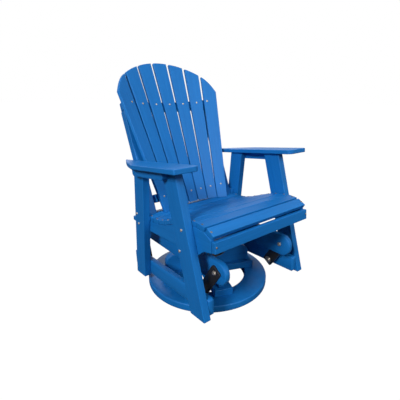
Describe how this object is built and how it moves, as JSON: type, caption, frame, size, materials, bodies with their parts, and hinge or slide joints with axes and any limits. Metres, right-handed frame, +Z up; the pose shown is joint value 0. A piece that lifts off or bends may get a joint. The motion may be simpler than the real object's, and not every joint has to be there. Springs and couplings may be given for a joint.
{
  "type": "swivel glider chair",
  "caption": "Garden armchair with a fanned slatted back and a shaped slatted seat, hung on swing arms from a frame that turns on a round base.",
  "frame": {"origin": "centre of the bounding box on the floor; the swivel axis stands 17.8 mm in front of it", "axes": "+Z up, -Y the way the sitter faces, +X the sitter's left"},
  "size_m": [0.736, 0.7883, 1.0527],
  "materials": {
    "poly_blue": "fine grained",
    "arm_black": "satin",
    "bolt_steel": "satin",
    "swivel_zinc": "satin"
  },
  "bodies": {
    "base": {"base_ring": "poly_blue", "base_plank_long": "poly_blue", "base_plank_left": "poly_blue", "base_plank_right": "poly_blue", "riser_cross": "poly_blue", "riser_long": "poly_blue", "swivel_lower_plate": "swivel_zinc", "swivel_ball_cage": "bolt_steel"},
    "glider_frame": {"swivel_upper_plate": "swivel_zinc", "frame_cross_front": "poly_blue", "frame_cross_rear": "poly_blue", "glider_rail_left": "poly_blue", "glider_rail_right": "poly_blue", "upper_pivot_bolt_front_left": "bolt_steel", "upper_pivot_bolt_front_right": "bolt_steel", "upper_pivot_bolt_rear_left": "bolt_steel", "upper_pivot_bolt_rear_right": "bolt_steel"},
    "front_swing_arms": {"swing_arm_front_left": "arm_black", "swing_arm_front_right": "arm_black"},
    "rear_swing_arms": {"swing_arm_rear_left": "arm_black", "swing_arm_rear_right": "arm_black"},
    "chair": {"lower_pivot_bolt_front_left": "bolt_steel", "lower_pivot_bolt_front_right": "bolt_steel", "lower_pivot_bolt_rear_left": "bolt_steel", "lower_pivot_bolt_rear_right": "bolt_steel", "stretcher_left": "poly_blue", "stretcher_right": "poly_blue", "leg_front_left": "poly_blue", "leg_front_right": "poly_blue", "leg_rear_left": "poly_blue", "leg_rear_right": "poly_blue", "seat_side_left": "poly_blue", "seat_side_right": "poly_blue", "seat_apron": "poly_blue", "seat_nose_slat": "poly_blue", "seat_slat_1": "poly_blue", "seat_slat_2": "poly_blue", "seat_slat_3": "poly_blue", "seat_slat_4": "poly_blue", "seat_slat_5": "poly_blue", "seat_slat_6": "poly_blue", "seat_slat_7": "poly_blue", "seat_slat_8": "poly_blue", "seat_slat_9": "poly_blue", "back_slat_1": "poly_blue", "back_slat_2": "poly_blue", "back_slat_3": "poly_blue", "back_slat_4": "poly_blue", "back_slat_5": "poly_blue", "back_slat_6": "poly_blue", "back_slat_7": "poly_blue", "back_upper_brace": "poly_blue", "back_lower_brace": "poly_blue", "back_post_left": "poly_blue", "back_post_right": "poly_blue", "rear_cross_board": "poly_blue", "arm_left": "poly_blue", "arm_right": "poly_blue", "arm_cleat_left": "poly_blue", "arm_cleat_right": "poly_blue"}
  },
  "joints": [
    {"name": "swivel", "type": "hinge", "parent": "base", "child": "glider_frame", "pos_m": [0, -0.0178, 0.18], "axis": [0, 0, 1], "continuous": true},
    {"name": "glide", "type": "hinge", "parent": "glider_frame", "child": "front_swing_arms", "pos_m": [0, -0.3233, 0.2482], "axis": [1, 0, 0], "range_deg": [-14, 12]},
    {"name": "chair_pitch", "type": "hinge", "parent": "front_swing_arms", "child": "chair", "pos_m": [0, -0.2453, 0.12372], "axis": [1, 0, 0], "range_deg": [-17, 20]},
    {"name": "rear_arm_swing", "type": "hinge", "parent": "glider_frame", "child": "rear_swing_arms", "pos_m": [0, 0.25217, 0.2482], "axis": [1, 0, 0], "range_deg": [-14, 12]}
  ],
  "couplings": [
    {"joint": "chair_pitch", "follows": "glide", "ratio": -1.236},
    {"joint": "rear_arm_swing", "follows": "glide", "ratio": 0.8609}
  ]
}
